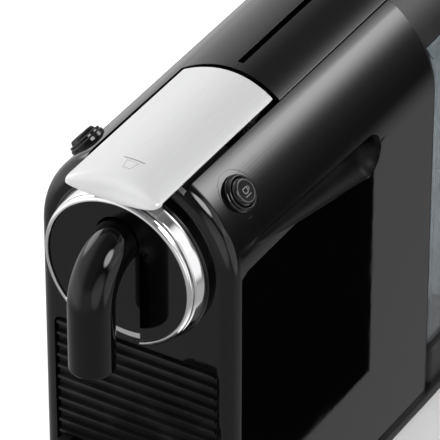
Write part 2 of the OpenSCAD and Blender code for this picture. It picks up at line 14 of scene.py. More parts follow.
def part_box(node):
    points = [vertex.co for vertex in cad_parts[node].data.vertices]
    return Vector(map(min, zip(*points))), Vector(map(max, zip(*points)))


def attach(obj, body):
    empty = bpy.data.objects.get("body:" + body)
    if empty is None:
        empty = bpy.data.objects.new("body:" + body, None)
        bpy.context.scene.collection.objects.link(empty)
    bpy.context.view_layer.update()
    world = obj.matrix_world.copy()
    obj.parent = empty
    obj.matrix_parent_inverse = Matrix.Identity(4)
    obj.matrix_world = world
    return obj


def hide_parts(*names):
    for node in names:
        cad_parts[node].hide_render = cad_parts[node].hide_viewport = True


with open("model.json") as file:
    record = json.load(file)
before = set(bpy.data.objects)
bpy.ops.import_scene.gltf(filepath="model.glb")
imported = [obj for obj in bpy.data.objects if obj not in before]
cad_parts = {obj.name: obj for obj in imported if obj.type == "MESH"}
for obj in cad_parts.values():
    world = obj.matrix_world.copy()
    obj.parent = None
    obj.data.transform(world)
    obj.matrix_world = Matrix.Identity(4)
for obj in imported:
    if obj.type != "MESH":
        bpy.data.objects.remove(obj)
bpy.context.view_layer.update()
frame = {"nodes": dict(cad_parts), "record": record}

MM = 0.001

# ---------- camera, light and floor ----------

VIEW_AZIMUTH = 31.04
VIEW_ELEVATION = 35.38
VIEW_DISTANCE = 2.355
VIEW_AIM = Vector((0.0328, -0.0534, 0.2325))
VIEW_LENS = 370.6


def direction(azimuth, elevation):
    """Unit vector from the object towards that azimuth and elevation; azimuth 0 is in front."""
    a, e = math.radians(azimuth), math.radians(elevation)
    return Vector((math.sin(a) * math.cos(e), -math.cos(a) * math.cos(e), math.sin(e)))


def make_camera():
    """Long lens above the right front corner, aimed at the head."""
    data = bpy.data.cameras.new("camera")
    data.lens = VIEW_LENS
    data.sensor_width = 36
    data.clip_end = 50
    camera = bpy.data.objects.new("camera", data)
    back = direction(VIEW_AZIMUTH, VIEW_ELEVATION)
    camera.location = VIEW_AIM + back * VIEW_DISTANCE
    camera.rotation_euler = back.to_track_quat("Z", "Y").to_euler()
    bpy.context.scene.collection.objects.link(camera)
    bpy.context.scene.camera = camera


make_camera()


# ---------- node maths ----------

class Wire:
    """A node's output. Arithmetic on it adds Math nodes, and make() adds any other node."""

    def __init__(self, tree, socket):
        self.tree = tree
        self.socket = socket

    def make(self, kind, settings=None, inputs=None, output=0):
        node = self.tree.nodes.new(kind)
        for key, value in (settings or {}).items():
            setattr(node, key, value)
        for key, value in (inputs or {}).items():
            if isinstance(value, Wire):
                self.tree.links.new(value.socket, node.inputs[key])
            else:
                node.inputs[key].default_value = value
        return Wire(self.tree, node.outputs[output])

    def math(self, operation, a, b=0.0):
        return self.make("ShaderNodeMath", {"operation": operation}, {0: a, 1: b})

    def __add__(self, other):
        return self.math("ADD", self, other)

    def __sub__(self, other):
        return self.math("SUBTRACT", self, other)

    def __rsub__(self, other):
        return self.math("SUBTRACT", other, self)

    def __mul__(self, other):
        return self.math("MULTIPLY", self, other)

    def __pow__(self, other):
        return self.math("POWER", self, other)

    def fade(self, low, high, to_low=0.0, to_high=1.0):
        """Smooth step from to_low at low to to_high at high."""
        return self.make("ShaderNodeMapRange", {"interpolation_type": "SMOOTHSTEP"},
                         {"Value": self, "From Min": low, "From Max": high,
                          "To Min": to_low, "To Max": to_high})

    def noise(self, scale, detail=2.0, rough=0.5, stretch=(1, 1, 1)):
        """Noise on this coordinate, scale in waves a metre, slowed along an axis by stretch."""
        where = self.make("ShaderNodeMapping", {}, {"Vector": self, "Scale": stretch})
        return self.make("ShaderNodeTexNoise", {"noise_dimensions": "3D"},
                         {"Vector": where, "Scale": scale, "Detail": detail, "Roughness": rough})

    def dots(self, scale, size):
        """Mask of small round dots, one in each cell, size from 0 to 1."""
        cell = self.make("ShaderNodeTexVoronoi", {"feature": "F1"},
                         {"Vector": self, "Scale": scale}, "Distance")
        return cell.fade(size, size * 0.4)

    def blend(self, a, b):
        """Colour mix from a to b by this mask."""
        return self.make("ShaderNodeMix", {"data_type": "RGBA"}, {"Factor": self, 6: a, 7: b}, 2)


def dot(wire, vector):
    """Dot product of a vector wire and a fixed vector."""
    return wire.make("ShaderNodeVectorMath", {"operation": "DOT_PRODUCT"}, {0: wire, 1: vector}, "Value")


SOFT_BOX = (147, 34)
# Azimuth, elevation, cosine at the edge, cosine of the full glow, and strength of each small lamp
LAMPS = ((49, 4, 0.88, 0.97, 0.75), (75, 44, 0.965, 0.98775, 9.0), (-104, 24, 0.94, 0.979, 2.5),
         (99, -4, 0.9, 0.965, 1.0), (98, 30, 0.92, 0.972, 1.0))


def make_world():
    """White studio: pale wall on the left, one soft box behind on the right, dim ceiling, pale floor.

    The camera itself sees plain white.
    """
    world = bpy.data.worlds.new("studio")
    world.use_nodes = True
    tree = world.node_tree
    tree.nodes.clear()
    start = Wire(tree, None)
    ray = start.make("ShaderNodeTexCoord", {}, {}, "Generated")
    height = dot(ray, (0, 0, 1))
    side = dot(ray, (1, 0, 0))
    back = dot(ray, (0, 1, 0))
    wall = side.fade(-0.12, -0.72, 0.2, 0.98) * side.fade(0.75, 0.1, 0.25, 1.0)
    front_wall = back.fade(0.1, -0.6, 0.0, 0.35) * height.fade(0.3, 0.05, 0.12, 1.0)
    below = height.fade(-0.22, -0.52)
    floor_light = back.fade(-0.3, 0.3, 0.36, 0.42) + height.fade(-0.68, -0.95, 0.0, 0.8)
    shade = (wall + front_wall) * (1 - below) + below * floor_light
    box = start.math("MAXIMUM", dot(ray, tuple(direction(*SOFT_BOX))), 0.0)
    shade = shade + box ** 56 * 7.2 + box ** 9 * 0.5 * height.fade(0.64, 0.5, 0.2, 1.0)
    for azimuth, elevation, edge, glow, power in LAMPS:
        shade = shade + dot(ray, tuple(direction(azimuth, elevation))).fade(edge, glow, 0.0, power)
    seen = start.make("ShaderNodeLightPath", {}, {}, "Is Camera Ray")
    shade = shade * (1 - seen) + seen
    light = start.make("ShaderNodeBackground", {}, {"Color": (1, 1, 1, 1), "Strength": shade})
    end = tree.nodes.new("ShaderNodeOutputWorld")
    tree.links.new(light.socket, end.inputs["Surface"])
    bpy.context.scene.world = world


CARD_PLACE = Vector((0.11, 0.078, 0.0775))
CARD_HEIGHT = 0.175
CARD_LENGTH = 0.152


def make_dark_card():
    """Black flag beside the right wall, which only mirrors in the gloss and isn't seen itself."""
    bpy.ops.object.select_all(action="DESELECT")
    bpy.ops.mesh.primitive_plane_add(size=1, location=CARD_PLACE, rotation=(0, math.pi / 2, 0))
    card = bpy.context.object
    card.name = "dark_card"
    card.scale = (CARD_HEIGHT, CARD_LENGTH, 1)
    paint = bpy.data.materials.new("card_black")
    paint.use_nodes = True
    shader = paint.node_tree.nodes["Principled BSDF"]
    shader.inputs["Base Color"].default_value = (0, 0, 0, 1)
    shader.inputs["Roughness"].default_value = 1
    shader.inputs["Specular IOR Level"].default_value = 0
    card.data.materials.append(paint)
    card.visible_camera = False
    card.visible_diffuse = False
    card.visible_shadow = False
    card.visible_transmission = False


make_dark_card()
make_world()
bpy.context.scene.view_settings.view_transform = "Standard"


FLOOR_SIZE = 60
FLOOR_TONE = 0.9


def make_floor():
    """Pale floor, wide enough to reach the horizon."""
    bpy.ops.object.select_all(action="DESELECT")
    bpy.ops.mesh.primitive_plane_add(size=FLOOR_SIZE, location=(0, 0, 0))
    floor = bpy.context.object
    floor.name = "floor"
    paint = bpy.data.materials.new("floor")
    paint.use_nodes = True
    shader = paint.node_tree.nodes["Principled BSDF"]
    shader.inputs["Base Color"].default_value = (FLOOR_TONE, FLOOR_TONE, FLOOR_TONE, 1)
    shader.inputs["Roughness"].default_value = 0.7
    floor.data.materials.append(paint)
    floor.visible_glossy = False


make_floor()


KEY_SIZE = 1.6
KEY_POWER = 60
KEY_DISTANCE = 2.5


def make_key():
    """Large soft lamp from above left, for the shapes' soft shading."""
    data = bpy.data.lights.new("key", "AREA")
    data.size = KEY_SIZE
    data.energy = KEY_POWER
    key = bpy.data.objects.new("key", data)
    away = direction(-35, 60)
    key.location = away * KEY_DISTANCE
    key.rotation_euler = away.to_track_quat("Z", "Y").to_euler()
    key.visible_glossy = False
    bpy.context.scene.collection.objects.link(key)


make_key()


# ---------- materials ----------

def new_material(name, build, **fixed):
    """A material whose build(coords) gives its varying sockets; fixed sockets are set as they are."""
    material = bpy.data.materials.new(name)
    material.use_nodes = True
    tree = material.node_tree
    shader = tree.nodes["Principled BSDF"]
    for key, value in fixed.items():
        shader.inputs[key.replace("_", " ")].default_value = value
    start = Wire(tree, None)
    coords = start.make("ShaderNodeTexCoord", {}, {}, "Object")
    for key, value in build(coords).items():
        if key == "Bump":
            height, strength, distance = value
            value = start.make("ShaderNodeBump", {},
                               {"Height": height, "Strength": strength, "Distance": distance})
            key = "Normal"
        tree.links.new(value.socket, shader.inputs[key])
    return material


def smudges(coords, amount):
    """Soft wipe marks and finger marks as a mask from 0 to amount."""
    wipe = coords.noise(38, 3, 0.6, (1, 0.35, 1)).fade(0.48, 0.72)
    touch = coords.noise(95, 2, 0.5).fade(0.55, 0.75)
    return (wipe * 0.7 + touch * 0.3) * amount


def gloss_black(name="gloss_black", ior=1.5):
    """Polished black plastic with wipe marks and a little dust."""
    def build(p):
        marks = smudges(p, 0.05)
        dust = p.dots(420, 0.16) * p.noise(30).fade(0.5, 0.75)
        return {
            "Base Color": dust.blend((0.0008, 0.0008, 0.0009, 1), (0.02, 0.02, 0.02, 1)),
            "Roughness": marks + dust * 0.3 + 0.035,
            "Bump": (p.noise(260, 2), 0.02, 0.0004),
        }
    return new_material(name, build, IOR=ior)


def satin_black():
    """Black moulded plastic with a fine grain, a little paler where it is worn."""
    def build(p):
        grain = p.noise(1800, 2)
        wear = p.noise(45, 4).fade(0.45, 0.7)
        return {
            "Base Color": wear.blend((0.003, 0.003, 0.0032, 1), (0.007, 0.007, 0.0075, 1)),
            "Roughness": wear * 0.12 + grain * 0.08 + 0.34,
            "Bump": (grain, 0.12, 0.0003),
        }
    return new_material("satin_black", build, IOR=1.48)


def chrome():
    """Bright plating with faint finger marks."""
    def build(p):
        marks = smudges(p, 0.10)
        return {
            "Base Color": marks.blend((0.88, 0.88, 0.89, 1), (0.72, 0.72, 0.72, 1)),
            "Roughness": marks + p.noise(900, 2) * 0.02 + 0.03,
        }
    return new_material("chrome_ring", build, Metallic=1.0)


def lever_metal():
    """Pale satin metal, brushed along the lever."""
    def build(p):
        grain = p.noise(2600, 3, 0.6, (1, 0.02, 1))
        marks = smudges(p, 0.04)
        return {
            "Base Color": grain.blend((0.46, 0.46, 0.47, 1), (0.55, 0.55, 0.55, 1)),
            "Roughness": grain * 0.05 + marks + 0.2,
            "Bump": (grain, 0.05, 0.0001),
        }
    return new_material("lever_metal", build, Metallic=0.3)


def plain(name, low, high, rough, scale, bump=0.1, **fixed):
    """Moulded, cast or cut material with cloudy colour, uneven roughness and a fine grain."""
    def build(p):
        cloud = p.noise(scale, 4).fade(0.35, 0.68)
        grain = p.noise(scale * 25, 2)
        return {
            "Base Color": cloud.blend(low + (1,), high + (1,)),
            "Roughness": cloud * 0.1 + grain * 0.08 + rough,
            "Bump": (grain, bump, 0.0003),
        }
    return new_material(name, build, **fixed)


def make_finishes():
    """Every finish by its name."""
    return {
        "gloss_black": gloss_black(),
        # The spout's gloss reflects less than the other gloss black: painted shade that darkens the spout
        "spout_black": gloss_black("spout_black", 1.42),
        # Near black, dull and barely reflecting: painted shade for grooves and gaps
        "painted_shade_black": plain("painted_shade_black", (0.0006, 0.0006, 0.0006), (0.0014, 0.0014, 0.0014),
                           0.7, 60, 0.1, IOR=1.2),
        # Near black and barely reflecting: painted shade laid over the scoop's floor
        "scoop_shade_black": plain("scoop_shade_black", (0.001, 0.001, 0.001), (0.002, 0.002, 0.002),
                             0.3, 60, 0.02, IOR=1.22),
        "rim_grey": plain("rim_grey", (0.045, 0.045, 0.045), (0.07, 0.07, 0.07), 0.25, 150, 0.02),
        "satin_black": satin_black(),
        "chrome_ring": chrome(),
        "lever_metal": lever_metal(),
        "button_black": plain("button_black", (0.012, 0.012, 0.013), (0.02, 0.02, 0.02), 0.2, 80, 0.04),
        "symbol_grey": plain("symbol_grey", (0.15, 0.15, 0.15), (0.2, 0.2, 0.2), 0.35, 150, 0.02),
        "button_inlay": plain("button_inlay", (0.004, 0.004, 0.004), (0.008, 0.008, 0.008),
                              0.1, 120, 0.05, IOR=1.25),
        "grey_nylon": plain("grey_nylon", (0.05, 0.05, 0.055), (0.08, 0.08, 0.085), 0.45, 50),
        "steel": plain("steel", (0.50, 0.50, 0.51), (0.62, 0.62, 0.63), 0.22, 60, 0.05, Metallic=1.0),
        "rubber_black": plain("rubber_black", (0.012, 0.012, 0.012), (0.03, 0.03, 0.03), 0.65, 70, 0.2),
        "seal_rubber": plain("seal_rubber", (0.28, 0.05, 0.03), (0.36, 0.08, 0.05), 0.5, 90),
        "pump_metal": plain("pump_metal", (0.42, 0.42, 0.40), (0.58, 0.57, 0.52),
                            0.3, 40, 0.05, Metallic=1.0),
        "cast_aluminium": plain("cast_aluminium", (0.5, 0.5, 0.51), (0.62, 0.62, 0.63),
                                0.42, 80, 0.4, Metallic=1.0),
        "white_nylon": plain("white_nylon", (0.62, 0.61, 0.56), (0.72, 0.71, 0.67), 0.4, 60),
        "tube_clear": plain("tube_clear", (0.66, 0.65, 0.62), (0.78, 0.77, 0.75), 0.3, 50),
        "board_green": plain("board_green", (0.02, 0.11, 0.05), (0.03, 0.17, 0.08), 0.3, 150),
        "socket_black": plain("socket_black", (0.012, 0.012, 0.012), (0.025, 0.025, 0.025), 0.4, 90),
        "brass_pins": plain("brass_pins", (0.62, 0.48, 0.22), (0.75, 0.6, 0.32),
                            0.22, 120, 0.03, Metallic=1.0),
        "tank_smoke": plain("tank_smoke", (0.30, 0.33, 0.35), (0.36, 0.39, 0.41), 0.04, 40, 0.02,
                            Transmission_Weight=0.9, IOR=1.45),
    }


FINISH = make_finishes()
SLOT_OF = {part["node"]: part["material_slot"] for part in frame["record"]["subparts"]}


def paint_frame():
    """Gives every carried-over part the finish of its slot."""
    for name, part in frame["nodes"].items():
        part.data.materials.clear()
        part.data.materials.append(FINISH[SLOT_OF[name]])


paint_frame()


# ---------- modelling tools, in millimetres ----------

def activate(piece):
    """Selects this piece alone."""
    bpy.ops.object.select_all(action="DESELECT")
    piece.select_set(True)
    bpy.context.view_layer.objects.active = piece


def settle(name):
    """Names the active object and moves its place, turn and scale into its mesh."""
    piece = bpy.context.object
    piece.name = name
    piece.data.name = name
    activate(piece)
    bpy.ops.object.transform_apply(location=True, rotation=True, scale=True)
    return piece


def block(name, low, high):
    """Box between two opposite corners."""
    low, high = Vector(low) * MM, Vector(high) * MM
    bpy.ops.object.select_all(action="DESELECT")
    bpy.ops.mesh.primitive_cube_add(size=1, location=(low + high) / 2)
    bpy.context.object.scale = high - low
    return settle(name)


def rod(name, radius, start, end, sides=96, end_radius=None):
    """Round bar or cone from start to end."""
    start, end = Vector(start) * MM, Vector(end) * MM
    run = end - start
    bpy.ops.object.select_all(action="DESELECT")
    bpy.ops.mesh.primitive_cone_add(vertices=sides, radius1=radius * MM,
                                    radius2=(radius if end_radius is None else end_radius) * MM,
                                    depth=run.length, location=(start + end) / 2,
                                    rotation=run.to_track_quat("Z", "Y").to_euler())
    return settle(name)


def ball(name, radius, centre):
    """Round ball about a centre."""
    bpy.ops.object.select_all(action="DESELECT")
    bpy.ops.mesh.primitive_uv_sphere_add(segments=64, ring_count=32, radius=radius * MM,
                                         location=Vector(centre) * MM)
    return settle(name)


def pick(piece, kind, test):
    """In edit mode, selects the points, edges or faces that pass a test of their middle and themselves."""
    mesh = bmesh.from_edit_mesh(piece.data)
    bpy.context.tool_settings.mesh_select_mode = (kind == "verts", kind == "edges", kind == "faces")
    for part in list(mesh.verts) + list(mesh.edges) + list(mesh.faces):
        part.select_set(False)
    for part in getattr(mesh, kind):
        middle = part.co if kind == "verts" else sum((v.co for v in part.verts), Vector()) / len(part.verts)
        if test(middle / MM, part):
            part.select_set(True)
    mesh.select_flush_mode()
    bmesh.update_edit_mesh(piece.data)


def place_points(piece, where):
    """In edit mode, grabs each point in turn and moves it to where(index, its place), in metres."""
    bpy.context.tool_settings.mesh_select_mode = (True, False, False)
    bpy.ops.mesh.select_all(action="DESELECT")
    mesh = bmesh.from_edit_mesh(piece.data)
    for index in range(len(mesh.verts)):
        mesh.verts.ensure_lookup_table()
        point = mesh.verts[index]
        move = where(index, point.co.copy()) - point.co
        point.select_set(True)
        bpy.ops.transform.translate(value=move)
        mesh = bmesh.from_edit_mesh(piece.data)
        mesh.verts.ensure_lookup_table()
        mesh.verts[index].select_set(False)


def editing(piece):
    """Opens a piece in edit mode."""
    activate(piece)
    bpy.ops.object.mode_set(mode="EDIT")


def done():
    """Leaves edit mode."""
    bpy.ops.object.mode_set(mode="OBJECT")


def bevel_edges(piece, test, width, segments):
    """Rounds the edges that pass the test."""
    editing(piece)
    pick(piece, "edges", test)
    bpy.ops.mesh.bevel(offset=width * MM, segments=segments, clamp_overlap=False)
    done()


def tidy_mesh(piece, reach=0.004):
    """Merges points closer than reach and turns every face outwards."""
    editing(piece)
    bpy.ops.mesh.select_all(action="SELECT")
    bpy.ops.mesh.remove_doubles(threshold=reach * MM)
    bpy.ops.mesh.dissolve_degenerate(threshold=0.000002)
    bpy.ops.mesh.normals_make_consistent(inside=False)
    done()


def apply_modifier(piece, kind, **settings):
    """Adds a modifier with these settings and applies it."""
    activate(piece)
    modifier = piece.modifiers.new(kind.lower(), kind)
    for key, value in settings.items():
        setattr(modifier, key, value)
    bpy.ops.object.modifier_apply(modifier=modifier.name)


def combine(piece, *others, operation="DIFFERENCE"):
    """Cuts the others out of a piece, joins them to it or keeps what they share, and clears them away."""
    for other in others:
        apply_modifier(piece, "BOOLEAN", object=other, operation=operation, solver="EXACT")
        bpy.data.objects.remove(other)
    return piece


def soften_edges(piece, width, segments=2, angle=32):
    """Small round on every edge sharper than the angle."""
    editing(piece)
    bpy.ops.mesh.select_all(action="SELECT")
    bpy.ops.mesh.remove_doubles(threshold=0.00001)
    bpy.ops.mesh.dissolve_limited(angle_limit=math.radians(0.4))
    done()
    apply_modifier(piece, "BEVEL", width=width * MM, segments=segments, limit_method="ANGLE",
                   angle_limit=math.radians(angle), miter_outer="MITER_ARC", use_clamp_overlap=True)


def shade(piece, angle=32):
    """Shades a piece smooth but for edges sharper than the angle."""
    activate(piece)
    bpy.ops.object.shade_smooth_by_angle(angle=math.radians(angle))
    apply_modifier(piece, "WEIGHTED_NORMAL", keep_sharp=True, weight=50)


def fit(piece, body, finish, *nodes):
    """Paints a piece, lets it ride on its body and stand for its CAD nodes."""
    piece.data.materials.clear()
    piece.data.materials.append(FINISH[finish])
    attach(piece, body)
    if nodes:
        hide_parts(*nodes)
    return piece


def lathe(name, corners, rounds, place=None, steps=96):
    """Closed outline of radius and height corners, each rounded, spun round +Z and put in place."""
    bpy.ops.object.select_all(action="DESELECT")
    bpy.ops.mesh.primitive_circle_add(vertices=len(corners), radius=0.05, fill_type="NGON")
    piece = bpy.context.object
    editing(piece)
    place_points(piece, lambda index, spot: Vector((corners[index][0], 0, corners[index][1])) * MM)
    for size in sorted({r for r in rounds if r > 0}):
        spots = [Vector((c[0], 0, c[1])) for c, r in zip(corners, rounds) if r == size]
        pick(piece, "verts", lambda m, v: any((m - spot).length < 0.001 for spot in spots))
        bpy.ops.mesh.bevel(offset=size * MM, segments=6, affect="VERTICES", profile=0.5, clamp_overlap=False)
    pick(piece, "faces", lambda m, f: True)
    bpy.ops.mesh.delete(type="ONLY_FACE")
    bpy.ops.mesh.select_all(action="SELECT")
    bpy.ops.mesh.spin(steps=steps, angle=2 * math.pi, center=(0, 0, 0), axis=(0, 0, 1))
    done()
    if place is not None:
        piece.matrix_world = place
    piece = settle(name)
    tidy_mesh(piece)
    editing(piece)
    pick(piece, "edges", lambda m, e: not e.link_faces)
    bpy.ops.mesh.delete(type="EDGE")
    done()
    return piece


def facing(centre, out):
    """Matrix that puts a lathed piece at centre with its +Z along out."""
    return Matrix.Translation(Vector(centre) * MM) @ Vector(out).to_track_quat("Z", "Y").to_matrix().to_4x4()


def copy_of(node, name):
    """Copy of a CAD part, free of its stored normals."""
    piece = frame["nodes"][node].copy()
    piece.data = piece.data.copy()
    piece.name = name
    piece.data.name = name
    piece.parent = None
    for key in list(piece.keys()):
        del piece[key]
    bpy.context.scene.collection.objects.link(piece)
    activate(piece)
    bpy.ops.mesh.customdata_custom_splitnormals_clear()
    return piece


# ---------- driving sizes, in millimetres, from the frame ----------

SHELL_LOW, SHELL_HIGH = (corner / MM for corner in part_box("side_shell_right"))
RADIUS = SHELL_HIGH.x
FRONT = SHELL_LOW.y
DEPTH = SHELL_HIGH.y - FRONT
AXIS_Z = sum(corner.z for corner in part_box("face_disc")) / 2 / MM
FOOT = SHELL_LOW.z - AXIS_Z
WALL = 2.5
LEVER_LOW, LEVER_HIGH = (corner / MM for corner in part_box("lever"))
FRONT_ROUND = 9.5
ROOF_OPENING = 30.4
OPENING_DEPTH = 3.5
DISC_HOLE = 41.3
WINDOW_HALF = 50.5
WINDOW_TOP = -56.5
SCOOP_FRONT_RADIUS = 2
SCOOP_REAR_RADIUS = 13.7
LEVER_THICK = 2.2
LEVER_REAR = 98.2
ARCH_RADIUS = 130
LIP_RADIUS = 110
LIP_LOW = 47.9
ROLL_SHARE = 0.3
BUTTON_ANGLE = math.radians(50)
BUTTON_BACK = 29.5
BUTTON_HOLE = 10.6
SEAM_OUT = 13.7
SEAM_IN = 13.45
RING_LOW, RING_HIGH = (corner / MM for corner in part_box("face_ring"))
RING_OUT = FRONT - RING_LOW.y
DISC_OUT = 15.4
SLOT_HALF = 13
SLOT_TOP = 21
RING_IN = 42.35
RING_BACK = 4.3
SLOT_BEHIND_RING = -6.8
SLOT_BEHIND_DISC = -8.4
SPOUT_RADIUS = 12.6
SPOUT_BEND = 26
SPOUT_HEIGHT = 20
SPOUT_TIP = -44.6


def at(x, y, z):
    """Point measured from the centre of the roof's arc at the column's front face."""
    return Vector((x, FRONT + y, AXIS_Z + z))


def column_block(name, shrink=0, reach=0):
    """Solid column: straight walls under a half-round roof, with a rounded front edge."""
    radius = RADIUS - shrink
    low = FOOT - reach
    solid = block(name, at(-radius, shrink, low), at(radius, DEPTH + reach, radius))
    bevel_edges(solid, lambda m, e: m.z > AXIS_Z + radius - 1 and abs(abs(m.x) - radius) < 1,
                radius - 0.005, 48)
    tidy_mesh(solid, 0.02)
    bevel_edges(solid, lambda m, e: m.y < FRONT + shrink + 0.01 and m.z > AXIS_Z + low + 0.1,
                FRONT_ROUND - shrink, 10)
    return solid


def scoop_body(grow):
    """Tapered finger groove of the side wall, pointed in front and round behind."""
    front, rear = at(RADIUS + 0.5, 14, 17), at(RADIUS + 4.5, 143, -0.5)
    small, large = SCOOP_FRONT_RADIUS + grow, SCOOP_REAR_RADIUS + grow
    run = rear - front
    lean = (large - small) / run.length
    shrink = math.sqrt(1 - lean ** 2)
    along = run.normalized()
    scoop = rod("scoop", small * shrink, front - along * small * lean, rear - along * large * lean, 96,
                large * shrink)
    return combine(scoop, ball("tip", small, front), ball("end", large, rear), operation="UNION")


def button_axis(side):
    """Unit vector out of the roof at a button."""
    return Vector((side * math.sin(BUTTON_ANGLE), 0, math.cos(BUTTON_ANGLE)))


def button_foot(side, height=0.0):
    """Point on a button's axis, height above the roof."""
    return at(0, BUTTON_BACK, 0) + button_axis(side) * (RADIUS + height)


def make_right_shell():
    """Gloss side shell with its scoop, its openings and a thin ring line round the button."""
    shell = combine(column_block("side_shell_right_gloss"), column_block("room", WALL, 1))
    half = block("half", at(-RADIUS - 1, -1, FOOT - 1), at(0.15, DEPTH + 1, RADIUS + 1))
    opening = block("opening", at(-5, -1, 20), at(ROOF_OPENING, DEPTH + 1, RADIUS + 1))
    combine(opening, rod("roof_floor", RADIUS - OPENING_DEPTH, at(0, -2, 0), at(0, DEPTH + 2, 0), 128))
    disc_hole = rod("disc_hole", DISC_HOLE, at(0, -1, 0), at(0, WALL + 1, 0), 128)
    window = block("window", at(-WINDOW_HALF, -1, FOOT - 5), at(WINDOW_HALF, WALL + 1, WINDOW_TOP))
    bevel_edges(window, lambda m, e: m.z > AXIS_Z - 57 and abs(m.x) > 50, 5, 8)
    hole = rod("hole", BUTTON_HOLE, button_foot(1, -8), button_foot(1, 4), 96)
    combine(shell, half, opening, disc_hole, window, hole)
    liner = combine(column_block("liner"), scoop_body(WALL), operation="INTERSECT")
    combine(shell, liner, operation="UNION")
    combine(shell, scoop_body(0))
    line = rod("line", SEAM_OUT, button_foot(1, -4), button_foot(1, 2), 96)
    combine(line, rod("line_core", SEAM_IN, button_foot(1, -5), button_foot(1, 3), 96))
    combine(line, rod("line_floor", RADIUS - 0.2, at(0, 0, 0), at(0, 60, 0), 192))
    combine(shell, line)
    combine(shell, crease_cutter())
    return shell


def crease_cutter():
    """Thin wedge that planes a facet along the roof edge, wider towards the back."""
    def onto_facet(index, spot):
        place = spot / MM - at(0, 0, 0)
        if place.z > 60:
            return spot
        drop = 0.52 * (place.x - 32.2) + 0.0038 * (place.y - 97)
        return Vector((spot.x, spot.y, (AXIS_Z + 50.6 - drop) * MM))

    wedge = block("crease", at(28, 20, 57), at(40, DEPTH + 2, 63))
    editing(wedge)
    place_points(wedge, onto_facet)
    done()
    return wedge


def mirrored(piece, name):
    """Mirror image of a piece across the middle of the machine."""
    twin = piece.copy()
    twin.data = piece.data.copy()
    twin.name = name
    twin.data.name = name
    bpy.context.scene.collection.objects.link(twin)
    editing(twin)
    bpy.ops.mesh.select_all(action="SELECT")
    bpy.ops.transform.resize(value=(-1, 1, 1), center_override=(0, 0, 0))
    bpy.ops.mesh.flip_normals()
    done()
    return twin


def make_scoop_film(label):
    """Satin skin a tenth of a millimetre over the scoop's floor, ending just inside its rim; near black and
    barely reflecting, it is painted shade in the scoop.
    """
    film = combine(scoop_body(0.3), scoop_body(-0.1))
    film.name = "scoop_film_" + label
    return combine(film, column_block("film_bounds", 0.25), operation="INTERSECT")


def make_shells():
    """Both side shells and the painted-shade skins of their scoops."""
    right = make_right_shell()
    film = make_scoop_film("right")
    for skin in (film, mirrored(film, "scoop_film_left")):
        shade(skin, 40)
        fit(skin, "machine", "scoop_shade_black")
    soften_edges(right, 0.35, 2, 40)
    left = mirrored(right, "side_shell_left_gloss")
    for shell, node in ((right, "side_shell_right"), (left, "side_shell_left")):
        shade(shell, 30)
        fit(shell, "machine", "gloss_black", node)


def rear_arch(gap):
    """Cutter for all that lies behind the arched end of the lever, shifted back by gap."""
    behind = block("behind", at(-RADIUS, 90, 30), at(RADIUS, 230, RADIUS + 5))
    centre = LEVER_REAR + gap - ARCH_RADIUS
    return combine(behind, rod("arch", ARCH_RADIUS, at(0, centre, 28), at(0, centre, RADIUS + 8), 360))


LEVER_COLUMNS = (-1, -0.96, -0.88, -0.72, -0.48, -0.24, 0, 0.24, 0.48, 0.72, 0.88, 0.96, 1)
LEVER_ROWS = (0, 0.035, 0.08, 0.13, 0.18, 0.24, 0.3, 0.34, 0.42, 0.6, 0.8, 0.94, 0.985, 1)


def lever_point(across, along):
    """Point of the lever's top face: across is -1 to 1, along is 0 at the lip and 1 at the rear arch."""
    half = LEVER_HIGH.x
    nose = LEVER_LOW.y - FRONT - 2.4 * max(-across, 0)
    corner = 5.0 if across > 0 else 2.2
    x = half * across
    roof = math.sqrt(RADIUS ** 2 - x ** 2)
    lip = LIP_LOW + LIP_RADIUS - math.sqrt(LIP_RADIUS ** 2 - x ** 2)
    inset = max(abs(x) - half + corner, 0)
    front = nose + corner - math.sqrt(corner ** 2 - inset ** 2)
    run = 12 - 8.5 * across ** 2
    if along >= ROLL_SHARE:
        rear = LEVER_REAR - ARCH_RADIUS + math.sqrt(ARCH_RADIUS ** 2 - x ** 2)
        share = (along - ROLL_SHARE) / (1 - ROLL_SHARE)
        return at(x, front + run + (rear - front - run) * share, roof)
    drop = min(roof - lip, run)
    straight = (roof - lip - drop) * (1 - along / ROLL_SHARE)
    turn = math.pi / 2 * along / ROLL_SHARE
    return at(x, front + run * (1 - math.cos(turn)), roof - drop - straight + drop * math.sin(turn))


def make_lever():
    """Bright plate bent to the roof, whose front rolls down into a curved lip."""
    columns, rows = len(LEVER_COLUMNS) - 1, len(LEVER_ROWS) - 1

    def onto_lever(index, spot):
        across = LEVER_COLUMNS[round((spot.x + 1) / 2 * columns)]
        along = LEVER_ROWS[round((spot.y + 1) / 2 * rows)]
        return lever_point(across, along) * MM

    bpy.ops.object.select_all(action="DESELECT")
    bpy.ops.mesh.primitive_grid_add(x_subdivisions=columns, y_subdivisions=rows, size=2)
    plate = settle("lever_plate")
    editing(plate)
    place_points(plate, onto_lever)
    done()
    apply_modifier(plate, "SUBSURF", levels=3, boundary_smooth="ALL")
    apply_modifier(plate, "SOLIDIFY", thickness=LEVER_THICK * MM, offset=-1, use_even_offset=True)
    apply_modifier(plate, "BEVEL", width=1.0 * MM, segments=4, limit_method="ANGLE",
                   angle_limit=math.radians(50), use_clamp_overlap=True)
    shade(plate, 50)
    return fit(plate, "lever", "lever_metal", "lever")


